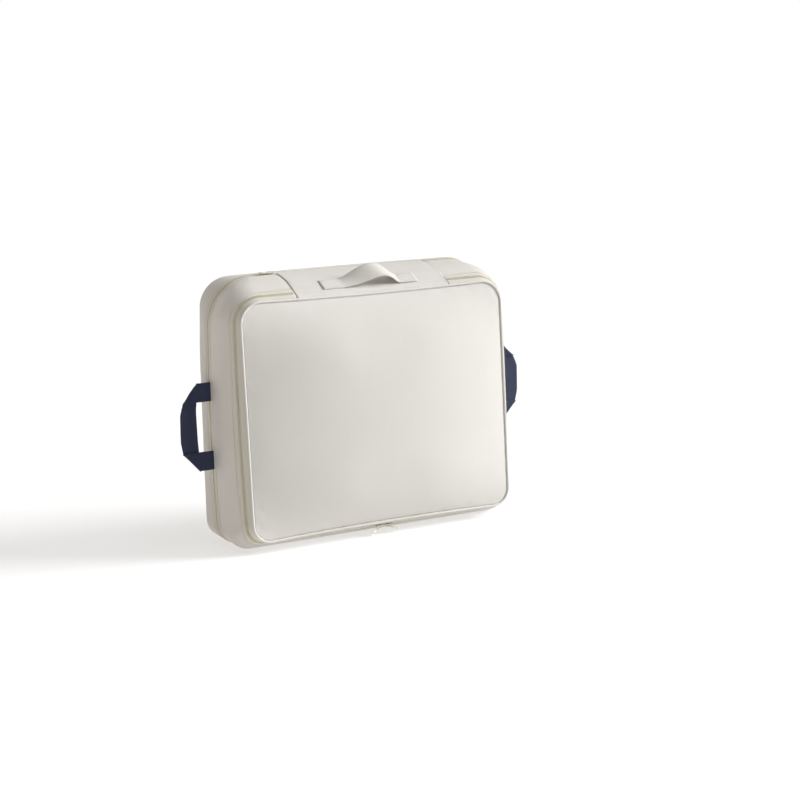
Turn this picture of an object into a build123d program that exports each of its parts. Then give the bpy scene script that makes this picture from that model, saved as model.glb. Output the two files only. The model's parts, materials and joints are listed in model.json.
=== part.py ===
from build123d import *
import os
from math import atan, atan2, cos, degrees, pi, radians, sin, tan

os.makedirs("parts", exist_ok=True)

# Soft zipped laundry case, standing on its long bottom side. Millimetres.
# +Z is up, the front cover faces -Y, the left side is -X.
# The origin is on the floor, under the middle of the case.

# Outline of the case at each depth: depth, half width, bottom, top, radius of the upper
# corners, outward bow of the sides, of the top and of the bottom.
STATIONS = (
    (-50.0, 192.0, 15.0, 327.0, 30.0, 0.0, -3.0, -4.0),
    (-46.0, 194.5, 15.0, 329.4, 33.0, 1.0, 0.0, 0.0),
    (-36.0, 199.5, 10.0, 334.6, 38.0, 2.5, 0.0, 0.0),
    (-24.0, 203.5, 4.0, 341.0, 43.0, 3.0, 0.0, 0.0),
    (-8.0, 206.0, -0.8, 347.0, 50.0, 4.0, 0.0, 0.0),
    (20.0, 206.0, -0.8, 352.4, 60.0, 5.0, 0.0, 0.0),
    (36.0, 206.0, -0.8, 353.6, 58.0, 5.0, 0.0, 0.0),
    (62.0, 205.0, -0.8, 351.0, 38.0, 3.0, 2.0, 0.0),
    (75.0, 198.0, 6.0, 344.0, 32.0, 1.0, 1.0, 0.0),
)
FOOT_CORNER = 25.0  # largest radius of the two lower corners
MID_HEIGHT = 172.0
TAPER = tan(radians(2.5))  # the case is deeper at its base than at its top
TAPER_CENTRE = 7.0
TAPER_REACH = 57.0

# Walls, in the order they meet from front to back.
WALL = 2.0
TAPE = 1.2
COIL_PROUD = 0.8
COIL_WIDTH = 1.8
COIL_GAP = 0.8
PIPING_FRONT = -51.4
PIPING_BACK = -48.4
PIPING_PROUD = 1.3
FRONT_ZIP = -41.0
FRONT_TAPE_END = -34.0
REAR_TAPE_START = 21.0
REAR_ZIP = 28.0
REAR_TAPE_END = 35.0
REAR_SEAM = 75.0
FRONT_BULGE = 18.0
REAR_BULGE = 12.0
DIVIDER_DEPTH = -8.0
DIVIDER = 1.0
BINDING = 1.4
BINDING_HEIGHT = 6.0
CLEAR = 0.3

# Top panel and its carry strap.
TOP_HALF = 112.0
STRAP_WIDTH = 20.0
STRAP = 1.8
STRAP_FRONT = -40.0
STRAP_HALF = 69.0
STRAP_SEWN = 43.0
GRIP_HALF = 30.0
GRIP_RISE = 9.0

# Side handles of folded webbing.
WEB_WIDTH = 25.0
WEB = 1.6
HANDLE_DEPTH = 19.0
HANDLE_AXIS = 212.3
HANDLE_REACH = 46.0
HANDLE_HALF = 58.0
LEFT_HANDLE_Z = 162.0
RIGHT_HANDLE_Z = 176.0

# Zip sliders and pulls.
SLIDER_LENGTH = 12.0
SLIDER_WIDTH = 9.0
PLATE = 1.0
BRIDGE = 0.8
PIVOT = 2.85
PULL_LENGTH = 16.5
PULL_WIDTH = 7.6
FRONT_SLIDER_X = 7.0
LEFT_PULL_ANGLE = -58.0
RIGHT_PULL_ANGLE = 66.0
REAR_SLIDER_X = -119.0
REAR_PULL_ANGLE = -88.0
WEB_HALF = 0.2
REAR_SLIDER_EDGE = -5.8  # the rear slider keeps to the case's side of its zip
REAR_PULL_MIDDLE = -3.65


def shape_at(depth):
    """Half width, bottom, top, upper corner radius and bows of the case at one depth."""
    depth = min(max(depth, STATIONS[0][0]), STATIONS[-1][0])
    for before, after in zip(STATIONS, STATIONS[1:]):
        if depth <= after[0]:
            part = (depth - before[0]) / (after[0] - before[0])
            return [a + part * (b - a) for a, b in zip(before[1:], after[1:])]


def lean(depth):
    """Change of depth for each millimetre of height: the front leans back, the rear forward."""
    return TAPER * min(max((TAPER_CENTRE - depth) / TAPER_REACH, -1.0), 1.0)


def on_case(depth, height):
    """True y and z of a point at a height on the tilted section of one depth."""
    tilt = atan(lean(depth))
    rise = height - MID_HEIGHT
    return depth + rise * sin(tilt), MID_HEIGHT + rise * cos(tilt)


def section_plane(depth):
    """Upright plane of one section, tilted with the taper of the case."""
    return Plane(origin=(0, depth, MID_HEIGHT), x_dir=(1, 0, 0), z_dir=(0, -1, lean(depth)))


def side_edge(start, middle, end):
    """One edge of an outline: straight, or an arc through its bowed middle."""
    straight = abs((end[0] - start[0]) * (middle[1] - start[1])
                   - (end[1] - start[1]) * (middle[0] - start[0])) < 0.01
    return Line(start, end) if straight else ThreePointArc(start, middle, end)


def outline(depth, inset=0.0, seam=None):
    """Face of the case's section at a depth; a dome keeps the shape and corners of its seam."""
    half, low, high, corner, side, top, bottom = shape_at(depth if seam is None else seam)
    half -= inset
    low += inset - MID_HEIGHT
    high -= inset + MID_HEIGHT
    middle = (low + high) / 2
    edges = [
        side_edge((-half, low), (0, low - bottom), (half, low)),
        side_edge((half, low), (half + side, middle), (half, high)),
        side_edge((half, high), (0, high + top), (-half, high)),
        side_edge((-half, high), (-half - side, middle), (-half, low)),
    ]
    face = make_face(edges)
    tighter = inset if seam is None else 0.0
    face = fillet(face.vertices().sort_by(Axis.Y)[2:], corner - tighter)
    face = fillet(face.vertices().sort_by(Axis.Y)[:2], min(corner, FOOT_CORNER) - tighter)
    return section_plane(depth) * face


def band(depths, thickness, proud=0.0):
    """Ring wall that follows the case between two or more depths."""
    outer = loft([outline(d, -proud) for d in depths], ruled=True)
    inner = loft([outline(d, thickness - proud) for d in depths], ruled=True)
    return outer - inner


def depths_between(start, end):
    """The two ends and every station between them."""
    return [start] + [s[0] for s in STATIONS if start < s[0] < end] + [end]


def top_window(half):
    """Block over the middle of the top, as wide as the top panel."""
    return Pos(0, 0, 330) * Box(2 * half, 400, 120)


def open_band(start, end, thickness, proud=0.0, half=TOP_HALF):
    """Ring wall without the stretch that the top panel covers."""
    return band(depths_between(start, end), thickness, proud) - top_window(half)


def floor_cut(solid):
    """Flatten what would hang below the floor, as the standing case is flattened."""
    return solid - Pos(0, 0, -50) * Box(600, 400, 100)


def panel(seam, bulge, reach, way):
    """Domed cover panel: a cushion-shaped shell that ends at its seam."""
    steps = 5

    def dome(wall):
        faces = []
        for step in range(steps + 1):
            turn = step / steps * pi / 2
            out = (bulge - wall) * sin(turn)
            inset = wall + reach * (1 - cos(turn))
            faces.append(outline(seam + way * out, inset, seam))
        return loft(faces, ruled=True)

    return dome(0.0) - dome(WALL)


def build_front_cover():
    """Front cover: domed panel, piping, seam binding and its half of the front zip."""
    coil_start = FRONT_ZIP - COIL_GAP / 2 - COIL_WIDTH
    tape = open_band(PIPING_BACK, coil_start, TAPE, half=TOP_HALF + CLEAR)
    coil = open_band(coil_start, coil_start + COIL_WIDTH, TAPE + COIL_PROUD, COIL_PROUD,
                     TOP_HALF + CLEAR)
    piping = band((PIPING_FRONT, PIPING_BACK), PIPING_PROUD + 1.7, PIPING_PROUD)
    binding = band((PIPING_FRONT + 0.6, PIPING_FRONT + 0.6 + BINDING), BINDING_HEIGHT, -2.0)
    return {
        "front_panel": panel(PIPING_FRONT, FRONT_BULGE, 105.0, -1),
        "front_piping": piping,
        "front_seam_binding": binding,
        "front_zip_cover_tape": tape,
        "front_zip_cover_coil": coil,
    }


def build_middle():
    """Fixed middle: gusset, top panel, divider and the inner halves of both zips."""
    front_coil = FRONT_ZIP + COIL_GAP / 2
    rear_coil = REAR_ZIP - COIL_GAP / 2 - COIL_WIDTH
    gusset = open_band(FRONT_TAPE_END, REAR_TAPE_START, WALL)
    whole_top = band(depths_between(PIPING_BACK + CLEAR, REAR_ZIP - COIL_GAP / 2), WALL)
    divider = extrude(outline(DIVIDER_DEPTH, WALL + 0.7), DIVIDER)
    return {
        "middle_gusset": floor_cut(gusset),
        "top_panel": whole_top & top_window(TOP_HALF),
        "divider": floor_cut(divider),
        "front_zip_case_tape": open_band(front_coil + COIL_WIDTH, FRONT_TAPE_END, TAPE),
        "front_zip_case_coil": open_band(front_coil, front_coil + COIL_WIDTH,
                                         TAPE + COIL_PROUD, COIL_PROUD),
        "rear_zip_case_tape": floor_cut(open_band(REAR_TAPE_START, rear_coil, TAPE)),
        "rear_zip_case_coil": floor_cut(open_band(rear_coil, rear_coil + COIL_WIDTH,
                                                  TAPE + COIL_PROUD, COIL_PROUD)),
    }


def build_rear_cover():
    """Rear cover: gusset, domed back panel, seam binding and its half of the rear zip."""
    coil = REAR_ZIP + COIL_GAP / 2
    reach = TOP_HALF + CLEAR
    joined = coil + COIL_WIDTH
    gusset = band(depths_between(REAR_TAPE_END, REAR_SEAM), WALL)
    binding = band((REAR_SEAM - 0.8 - BINDING, REAR_SEAM - 0.8), BINDING_HEIGHT, -2.6)
    strip = band((coil, REAR_TAPE_END), WALL) & top_window(TOP_HALF)
    return {
        "rear_gusset": floor_cut(gusset),
        "rear_hinge_strip": strip,
        "rear_panel": panel(REAR_SEAM, REAR_BULGE, 90.0, 1),
        "rear_seam_binding": binding,
        "rear_zip_cover_tape": floor_cut(open_band(joined, REAR_TAPE_END, TAPE, half=reach)),
        "rear_zip_cover_coil": floor_cut(open_band(coil, joined, TAPE + COIL_PROUD,
                                                   COIL_PROUD, reach)),
    }


def surface_slope(front, rear, top):
    """Slope in degrees of the top or bottom of the case between two depths."""
    height = 2 if top else 1
    front_y, front_z = on_case(front, shape_at(front)[height])
    rear_y, rear_z = on_case(rear, shape_at(rear)[height])
    return degrees(atan2(rear_z - front_z, rear_y - front_y))


def surface_frame(x, front, rear, top, lift=0.0):
    """Frame on the top or bottom of the case, midway between two depths: z points outward."""
    depth = (front + rear) / 2
    y, z = on_case(depth, shape_at(depth)[2 if top else 1])
    turn = surface_slope(front, rear, top) + (0 if top else 180)
    return Pos(x, y, z) * Rot(turn, 0, 0) * Pos(0, 0, lift)


def plate(length, near, far, level, thickness):
    """Slider plate with rounded ends."""
    outline_face = Pos(0, (near + far) / 2) * RectangleRounded(length, far - near, 2.2)
    return Pos(0, 0, level) * extrude(outline_face, thickness)


def slider(near, far, middle, web_x, slant):
    """Zip slider: two plates, the web between the coils and the bridge for the pull."""
    outer_level = COIL_PROUD + CLEAR
    inner_level = -TAPE - CLEAR - PLATE
    top = outer_level + PLATE
    body = plate(SLIDER_LENGTH, near, far, outer_level, PLATE)
    body += plate(SLIDER_LENGTH, near, far, inner_level, PLATE)
    stretch = 1 / cos(radians(slant))
    web_height = (outer_level - inner_level) * stretch
    web_middle = (outer_level + inner_level) / 2 * stretch
    body += Rot(-slant, 0, 0) * Pos(web_x, 0, web_middle) * Box(3.0, 2 * WEB_HALF, web_height)
    post_height = 2 * (PIVOT - top) + BRIDGE
    for side in (-1, 1):
        body += Pos(side * 3.8, middle, top + post_height / 2) * Box(1.2, 2.4, post_height)
    body += Pos(0, middle, top + post_height - BRIDGE / 2) * Box(8.8, 2.4, BRIDGE)
    return body


def pull(middle, angle):
    """Tear-shaped pull: a crossbar under the bridge, two arms and a drilled tab."""
    thickness = 1.0
    arm = 6.2
    face = Pos(0, PULL_LENGTH - PULL_WIDTH / 2) * Circle(PULL_WIDTH / 2)
    face += Pos(0, (arm + PULL_LENGTH - PULL_WIDTH / 2) / 2) * Trapezoid(
        PULL_WIDTH - 1.2, PULL_LENGTH - PULL_WIDTH / 2 - arm + 0.4, 88, 88)
    face -= Pos(0, PULL_LENGTH - PULL_WIDTH / 2) * Circle(1.6)
    for side in (-1, 1):
        face += Pos(side * 2.2, arm / 2) * Rectangle(1.0, arm + 0.9)
    tab = Pos(0, 0, -thickness / 2) * extrude(face, thickness)
    bar = Rot(0, 90, 0) * Cylinder(0.42, 4.0)
    flat = Rot(0, 0, -90) * (tab + bar)
    return Pos(0, middle, PIVOT) * Rot(0, angle - 90, 0) * flat


def build_sliders():
    """Two front sliders that meet at the bottom centre and the rear one at the top left."""
    half = SLIDER_WIDTH / 2
    front = (FRONT_ZIP - 2, FRONT_ZIP + 2)
    slant = surface_slope(*front, False)
    front_left = surface_frame(-FRONT_SLIDER_X, *front, False)
    front_right = surface_frame(FRONT_SLIDER_X, *front, False)
    rear = surface_frame(REAR_SLIDER_X, REAR_ZIP - 2, REAR_ZIP + 2, True)
    return {
        "front_slider_left": front_left * slider(-half, half, 0, 3.0, slant),
        "front_slider_right": front_right * slider(-half, half, 0, -3.0, slant),
        "front_pull_left": front_left * pull(0, LEFT_PULL_ANGLE),
        "front_pull_right": front_right * pull(0, RIGHT_PULL_ANGLE),
        "rear_slider": rear * slider(REAR_SLIDER_EDGE, WEB_HALF, REAR_PULL_MIDDLE, 3.0, 0.0),
        "rear_pull": rear * pull(REAR_PULL_MIDDLE, REAR_PULL_ANGLE),
    }


def side_handle(side, height):
    """Webbing handle: two arms folded at 45 degrees into an upright grip behind them."""
    inner = HANDLE_REACH - WEB_WIDTH
    low = HANDLE_HALF - WEB_WIDTH
    solid = None
    for way in (-1, 1):
        arm = make_face(Polyline((0, way * low), (HANDLE_REACH, way * low),
                                 (inner, way * HANDLE_HALF), (0, way * HANDLE_HALF),
                                 (0, way * low)))
        piece = extrude(Plane.XZ * arm, WEB / 2, both=True)
        solid = piece if solid is None else solid + piece
    grip = make_face(Polyline((inner, -HANDLE_HALF), (HANDLE_REACH, -low), (HANDLE_REACH, low),
                              (inner, HANDLE_HALF), (inner, -HANDLE_HALF)))
    solid += Pos(0, WEB, 0) * extrude(Plane.XZ * grip, WEB / 2, both=True)
    if side < 0:
        solid = mirror(solid, Plane.YZ)
    return Pos(side * HANDLE_AXIS, HANDLE_DEPTH, height) * solid


def build_top_handle():
    """Carry strap: the sewn ends with their ramps, and the raised grip between them."""
    frame = surface_frame(0, STRAP_FRONT, STRAP_FRONT + STRAP_WIDTH * 0.9, True, 1.0)
    cut = GRIP_HALF + CLEAR
    rise_at_cut = GRIP_RISE * (STRAP_SEWN - cut) / (STRAP_SEWN - GRIP_HALF)
    ends = None
    for way in (-1, 1):
        side = make_face(Polyline(
            (way * STRAP_HALF, 0), (way * STRAP_SEWN, 0), (way * cut, rise_at_cut),
            (way * cut, rise_at_cut + STRAP), (way * STRAP_SEWN, STRAP),
            (way * STRAP_HALF, STRAP), (way * STRAP_HALF, 0)))
        piece = extrude(Plane.XZ * side, STRAP_WIDTH / 2, both=True)
        ends = piece if ends is None else ends + piece
    grip = Pos(0, 0, GRIP_RISE + STRAP / 2) * Box(2 * GRIP_HALF, STRAP_WIDTH, STRAP)
    grip = fillet(grip.edges().filter_by(Axis.X), 0.6)
    return {"top_handle_ends": frame * ends, "top_handle_grip": frame * grip}


parts = {}
parts.update(build_front_cover())
parts.update(build_middle())
parts.update(build_rear_cover())
parts.update(build_sliders())
parts.update(build_top_handle())
parts["side_handle_left"] = side_handle(-1, LEFT_HANDLE_Z)
parts["side_handle_right"] = side_handle(1, RIGHT_HANDLE_Z)

for name, solid in parts.items():
    export_step(solid, f"parts/{name}.step")
    box = solid.bounding_box()
    print(name, [round(v, 2) for v in (*box.min, *box.max)])
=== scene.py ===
"""Soft zipped laundry case, standing on its long bottom side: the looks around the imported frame."""

import json
from math import atan, cos, pi, radians, sin, tan

import bpy
import numpy as np
from mathutils import Euler, Matrix, Vector


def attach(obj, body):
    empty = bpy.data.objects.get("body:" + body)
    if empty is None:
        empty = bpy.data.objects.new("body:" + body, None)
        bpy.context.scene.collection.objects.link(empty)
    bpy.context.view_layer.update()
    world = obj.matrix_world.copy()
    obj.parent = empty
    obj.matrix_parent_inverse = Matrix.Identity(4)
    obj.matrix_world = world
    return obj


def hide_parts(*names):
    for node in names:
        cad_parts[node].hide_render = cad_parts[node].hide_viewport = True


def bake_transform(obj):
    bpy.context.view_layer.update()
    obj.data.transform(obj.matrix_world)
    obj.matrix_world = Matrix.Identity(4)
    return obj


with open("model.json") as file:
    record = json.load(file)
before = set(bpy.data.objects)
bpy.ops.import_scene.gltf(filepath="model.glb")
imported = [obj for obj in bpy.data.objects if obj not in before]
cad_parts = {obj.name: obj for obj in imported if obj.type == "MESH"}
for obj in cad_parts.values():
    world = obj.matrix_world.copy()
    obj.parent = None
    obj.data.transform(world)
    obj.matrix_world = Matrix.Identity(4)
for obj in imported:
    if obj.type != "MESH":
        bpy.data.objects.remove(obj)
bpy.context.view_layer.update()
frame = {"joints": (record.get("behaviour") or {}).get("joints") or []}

MM = 0.001

# ---- driving sizes, in millimetres
# Outline of the case at each depth, as in its CAD model: depth, half width, bottom, top,
# radius of the upper corners, outward bow of the sides, of the top and of the bottom.
STATIONS = np.array((
    (-50.0, 192.0, 15.0, 327.0, 30.0, 0.0, -3.0, -4.0),
    (-46.0, 194.5, 15.0, 329.4, 33.0, 1.0, 0.0, 0.0),
    (-36.0, 199.5, 10.0, 334.6, 38.0, 2.5, 0.0, 0.0),
    (-24.0, 203.5, 4.0, 341.0, 43.0, 3.0, 0.0, 0.0),
    (-8.0, 206.0, -0.8, 347.0, 50.0, 4.0, 0.0, 0.0),
    (20.0, 206.0, -0.8, 352.4, 60.0, 5.0, 0.0, 0.0),
    (36.0, 206.0, -0.8, 353.6, 58.0, 5.0, 0.0, 0.0),
    (62.0, 205.0, -0.8, 351.0, 38.0, 3.0, 2.0, 0.0),
    (75.0, 198.0, 6.0, 344.0, 32.0, 1.0, 1.0, 0.0),
))
FOOT_CORNER = 25.0  # largest radius of the two lower corners
MID_HEIGHT = 172.0  # the sections lean about this height
TAPER = tan(radians(2.5))
TAPER_CENTRE = 7.0
TAPER_REACH = 57.0

# Depths of the seams, hems and zips, from front to rear.
FRONT_SEAM = -51.4
PIPING_DEPTH = -49.9
TOP_PANEL_FRONT = -49.2
FRONT_ZIP = -41.0
FRONT_HEM = -34.0
DIVIDER_DEPTH = -7.5
REAR_HEM = 21.0
TOP_PANEL_REAR = 27.2
REAR_ZIP = 28.0
LID_HEM = 35.0
REAR_SEAM = 75.0

# Depths that the hinge cloth of each cover spans.
FRONT_HINGE = (-50.5, -45.0)
REAR_HINGE = (26.0, 37.0)

# Points of an outline: along the bottom, a side, a corner and each end beside the top panel.
BOTTOM_STEPS, SIDE_STEPS, CORNER_STEPS, END_STEPS = 110, 72, 24, 16

TOP_HALF = 112.0  # half length of the top panel
UNDERLAP = 4.0  # how far the middle gusset runs under the ends of the top panel
CLOTH = 1.3  # thickness of the shell's cloth
FRONT_BULGE = 25.0
REAR_BULGE = 12.0
STITCH_INSET = 2.1  # from a hem to its topstitching
PIPING_RADIUS = 1.55
BINDING_WIDTH = 6.0
DIVIDER_INSET = 0.6
DIVIDER_THICK = 0.6
# Distance from a hem and lift there: a folded edge, its stitched dip, then the open cloth.
HEM_SHAPE = ((0.0, -0.35), (0.35, -0.02), (1.1, 0.12), (2.1, -0.08), (3.2, 0.04), (6.0, 0.1))
LONG_WAVE = 95.0  # of the cloth between the hems
PUCKER_WAVE = 13.0
PUCKER_REACH = 4.0  # from a hem to where its puckers are strongest

# Distance from the middle of a zip and lift there: coil, cord edge, then under the hem.
TAPE_SHAPE = ((0.4, 0.0), (2.6, 0.05), (3.4, 0.18), (5.0, -0.12), (12.0, -0.60))
TAPE_THICK = 0.55
TAPE_GAP = 0.4  # from the middle of a zip to the edge of a tape
COIL_PITCH = 1.75
COIL_WIRE = 0.37

STRAP_WIDTH = 20.0
STRAP_THICK = 1.7
STRAP_HALF = 69.0
STRAP_SEWN = 43.0  # from the middle to where the sewn ends start
STRAP_DEPTH = -31.0
STRAP_RISE = 18.0
STRAP_LEAN = 0.21  # sets the crest of the arch's front edge to the right of its rear edge's
STRAP_TILT = 0.20  # share by which the rear edge rises above the middle

WEB_WIDTH = 25.0
WEB_THICK = 1.5
WEB_RIB = 2.08
HANDLE_REACH = 46.0
HANDLE_HALF = 58.0

SLIDER_LENGTH = 12.0
SLIDER_WIDTH = 9.0
REAR_SLIDER_SHIFT = 3.65  # from the rear zip to its slider's crown and pull, nearer the case
PIVOT = 2.85  # height of a pull's pivot above the middle of its slider
PLATE_THICK = 1.0
PULL_LENGTH = 16.5
PULL_WIDTH = 7.6
LEFT_PULL_ANGLE = -58.0
LEFT_PULL_ROLL = 32.0
RIGHT_PULL_ANGLE = 66.0
REAR_PULL_ANGLE = -88.0


# ---- shape of the case
def station_slopes():
    """Slope of each station value with depth, limited so that the curve never overshoots."""
    depths, values = STATIONS[:, 0], STATIONS[:, 1:]
    grade = np.diff(values, axis=0) / np.diff(depths)[:, None]
    slopes = np.zeros_like(values)
    product = grade[:-1] * grade[1:]
    total = np.where(product > 0, grade[:-1] + grade[1:], 1.0)
    slopes[1:-1] = np.where(product > 0, 2 * product / total, 0.0)
    slopes[0], slopes[-1] = grade[0], grade[-1]
    return slopes


SLOPES = station_slopes()


def shape_at(depth):
    """Half width, bottom, top, upper corner radius and bows of the case at one depth."""
    depths, values = STATIONS[:, 0], STATIONS[:, 1:]
    depth = min(max(depth, depths[0]), depths[-1])
    i = min(int(np.searchsorted(depths, depth, side="right")) - 1, len(depths) - 2)
    width = depths[i + 1] - depths[i]
    t = (depth - depths[i]) / width
    return ((1 + 2 * t) * (1 - t) ** 2 * values[i] + t * (1 - t) ** 2 * width * SLOPES[i]
            + t * t * (3 - 2 * t) * values[i + 1] + t * t * (t - 1) * width * SLOPES[i + 1])


def inset_shape(depth, inset):
    """The same of a section made smaller, with the radius of its lower corners before the bows."""
    half, low, high, corner, *bows = shape_at(depth)
    foot = max(min(corner, FOOT_CORNER) - inset, 1.0)
    return half - inset, low + inset, high - inset, max(corner - inset, 1.0), foot, bows


def on_case(depth, path):
    """Points in space of (x, height) points on the tilted section of one depth."""
    path = np.atleast_2d(path)
    lean = TAPER * min(max((TAPER_CENTRE - depth) / TAPER_REACH, -1.0), 1.0)
    tilt = atan(lean)
    rise = path[:, 1] - MID_HEIGHT
    return np.column_stack((path[:, 0], depth + rise * sin(tilt),
                            MID_HEIGHT + rise * cos(tilt)))


def bowed(path, half, low, high, side, top, bottom):
    """Bow the straight sides of an outline outward."""
    x, z = path[:, 0], path[:, 1]
    middle, reach = (low + high) / 2, (high - low) / 2
    across, up = x / half, (z - middle) / reach
    wide = side * (1 - up ** 2) * np.sign(x) * np.abs(across) ** 4
    tall = np.where(up > 0, top, -bottom) * (1 - across ** 2) * np.abs(up) ** 4
    return np.column_stack((x + wide, z + tall))


def outline(depth, part, inset=0.0):
    """The case's outline as (x, height) points, clockwise seen from the front.

    part is "open" for the zipped stretch, "under" for the same with its ends tucked under the
    top panel, "top" for the stretch of the top panel, or "all".
    """
    half, low, high, corner, foot, bows = inset_shape(depth, inset)
    ceiling, ground = high - corner, low + foot

    def line(start, end, count):
        t = np.arange(count)[:, None] / count
        return np.array(start) + (np.array(end) - np.array(start)) * t

    def arc(side, z, radius, start):
        turn = np.radians(start - 90.0 * np.arange(CORNER_STEPS) / CORNER_STEPS)
        return np.column_stack((side * (half - radius) + radius * np.cos(turn),
                                z + radius * np.sin(turn)))

    end = TOP_HALF - UNDERLAP if part == "under" else TOP_HALF
    zipped = [
        line((end, high), (half - corner, high), END_STEPS),
        arc(1, ceiling, corner, 90.0),
        line((half, ceiling), (half, ground), SIDE_STEPS),
        arc(1, ground, foot, 0.0),
        line((half - foot, low), (foot - half, low), BOTTOM_STEPS),
        arc(-1, ground, foot, -90.0),
        line((-half, ground), (-half, ceiling), SIDE_STEPS),
        arc(-1, ceiling, corner, -180.0),
        line((corner - half, high), (-end, high), END_STEPS),
    ]
    span = line((-TOP_HALF, high), (TOP_HALF, high), SIDE_STEPS)
    if part in ("open", "under"):
        path = np.vstack(zipped + [[(-end, high)]])
    elif part == "top":
        path = np.vstack([span, [(TOP_HALF, high)]])
    else:
        path = np.vstack(zipped + [span])
    return bowed(path, half, low, high, *bows)


def skin(depths, part, inset=0.0):
    """Grid of points on the case: one row for each depth, one column for each outline point."""
    return np.array([on_case(depth, outline(depth, part, inset)) for depth in depths])


def slope(values, axis, closed):
    """Central differences along one axis of a grid."""
    if closed:
        return np.roll(values, -1, axis) - np.roll(values, 1, axis)
    return np.gradient(values, axis=axis)


def unit(vectors):
    return vectors / np.maximum(np.linalg.norm(vectors, axis=-1, keepdims=True), 1e-9)


def outward(grid, closed=False):
    """Unit normals of a skin grid, pointing out of the case."""
    return unit(np.cross(slope(grid, 1, closed), slope(grid, 0, False)))


def above_floor(points):
    """Flatten gently what would hang below the floor, as the standing case is flattened."""
    points = points.copy()
    points[..., 2] = 0.5 * (points[..., 2] + np.sqrt(points[..., 2] ** 2 + 0.25))
    return points


def ripple(grid, seed, scale):
    """Smooth seeded waviness over a grid, between about -1 and 1."""
    rng = np.random.default_rng(seed)
    total = np.zeros(grid.shape[:2])
    for _ in range(14):
        way = unit(rng.normal(size=3))
        size = scale * rng.uniform(0.6, 1.7)
        total += np.sin(grid @ way * (2 * pi / size) + rng.uniform(0, 2 * pi))
    return total / 4.5


def ring_line(depth, part, lift=0.0):
    """One line round the case, with the outward normals of its points."""
    grid = skin((depth - 0.5, depth, depth + 0.5), part)
    out = outward(grid, part == "all")[1]
    return grid[1] + out * lift, out


def travelled(line):
    """Distance of each point of a line from its start."""
    steps = np.linalg.norm(np.diff(line, axis=0), axis=1)
    return np.concatenate(([0.0], np.cumsum(steps)))


def spread(line, spacing, closed, *others):
    """Even samples along a line, and of the values that go with its points."""
    if closed:
        line = np.vstack((line, line[:1]))
        others = [np.vstack((o, o[:1])) for o in others]
    travel = travelled(line)
    count = max(int(round(travel[-1] / spacing)), 2)
    at = (np.arange(count) + 0.5) * travel[-1] / count
    picked = [np.column_stack([np.interp(at, travel, v[:, k]) for k in range(3)])
              for v in (line, *others)]
    return [picked[0]] + [unit(v) for v in picked[1:]]


# ---- meshes
def add_object(name, data):
    placed = bpy.data.objects.new(name, data)
    bpy.context.collection.objects.link(placed)
    return placed


def new_mesh(name, points, faces, cloth=None):
    """Mesh object from points in millimetres; cloth holds each point's place on the flat cloth."""
    mesh = bpy.data.meshes.new(name)
    mesh.from_pydata([tuple(p) for p in points.reshape(-1, 3) * MM], [], faces)
    mesh.validate()
    piece = add_object(name, mesh)
    if cloth is not None:
        layer = mesh.attributes.new("cloth", "FLOAT_VECTOR", "POINT")
        flat_place = np.zeros((len(mesh.vertices), 3), np.float32)
        flat_place[:, :2] = cloth.reshape(-1, 2)
        layer.data.foreach_set("vector", flat_place.ravel())
    mesh.polygons.foreach_set("use_smooth", [True] * len(mesh.polygons))
    return piece


def grid_faces(rows, columns, closed):
    """Quads over a grid, facing the way of columns crossed with rows."""
    faces = []
    for row in range(rows - 1):
        for column in range(columns if closed else columns - 1):
            after = (column + 1) % columns
            a, b = row * columns + column, row * columns + after
            faces.append((a, b, b + columns, a + columns))
    return faces


def flipped(faces):
    """The same faces, seen from their other side."""
    return [face[::-1] for face in faces]


def rod_faces(rows, sides):
    """Faces of a rod built of rings, with both of its ends."""
    last = (rows - 1) * sides
    ends = [tuple(range(sides))[::-1], tuple(range(last, last + sides))]
    return grid_faces(rows, sides, True) + ends


def ring_faces(rows, sides):
    """Faces of a rod that closes on itself."""
    last = (rows - 1) * sides
    return grid_faces(rows, sides, True) + [
        (last + k, last + (k + 1) % sides, (k + 1) % sides, k) for k in range(sides)]


def section_rings(line, across, up, profile):
    """Points of a profile set up across each point of a line."""
    return (line[:, None] + profile[None, :, :1] * across[:, None]
            + profile[None, :, 1:] * up[:, None])


def cloth_place(grid):
    """Place of each grid point on the flat cloth, in millimetres."""
    u = travelled(grid[grid.shape[0] // 2])
    rise = np.linalg.norm(np.diff(grid, axis=0), axis=2)
    v = np.vstack((np.zeros(grid.shape[1]), np.cumsum(rise, axis=0)))
    return np.column_stack((np.broadcast_to(u, v.shape).ravel(), v.ravel()))


def with_modifiers(piece):
    """Apply every modifier of a piece."""
    graph = bpy.context.evaluated_depsgraph_get()
    mesh = bpy.data.meshes.new_from_object(piece.evaluated_get(graph))
    old = piece.data
    piece.modifiers.clear()
    piece.data = mesh
    if old.users == 0:
        bpy.data.meshes.remove(old)
    return piece


def thicken(piece, thickness, offset=-1.0):
    """Give a single layer its real thickness, inward by default."""
    solid = piece.modifiers.new("thickness", "SOLIDIFY")
    solid.thickness = thickness * MM
    solid.offset = offset
    solid.use_even_offset = False
    return with_modifiers(piece)


def cloth_piece(name, grid, thickness, closed=False):
    """Sheet of cloth over a grid of points, with its thickness on the inside."""
    faces = grid_faces(*grid.shape[:2], closed)
    piece = new_mesh(name, grid, faces, cloth_place(grid))
    return thicken(piece, thickness)


def copies(name, shape, faces, places, along, out, across):
    """One mesh of many equal small shapes, each set in its own frame."""
    shape = np.asarray(shape)
    points = (places[:, None] + shape[None, :, :1] * along[:, None]
              + shape[None, :, 1:2] * across[:, None] + shape[None, :, 2:] * out[:, None])
    points = above_floor(points)
    count = len(shape)
    every = [tuple(i + k * count for i in face) for k in range(len(places)) for face in faces]
    return new_mesh(name, points, every)


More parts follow.
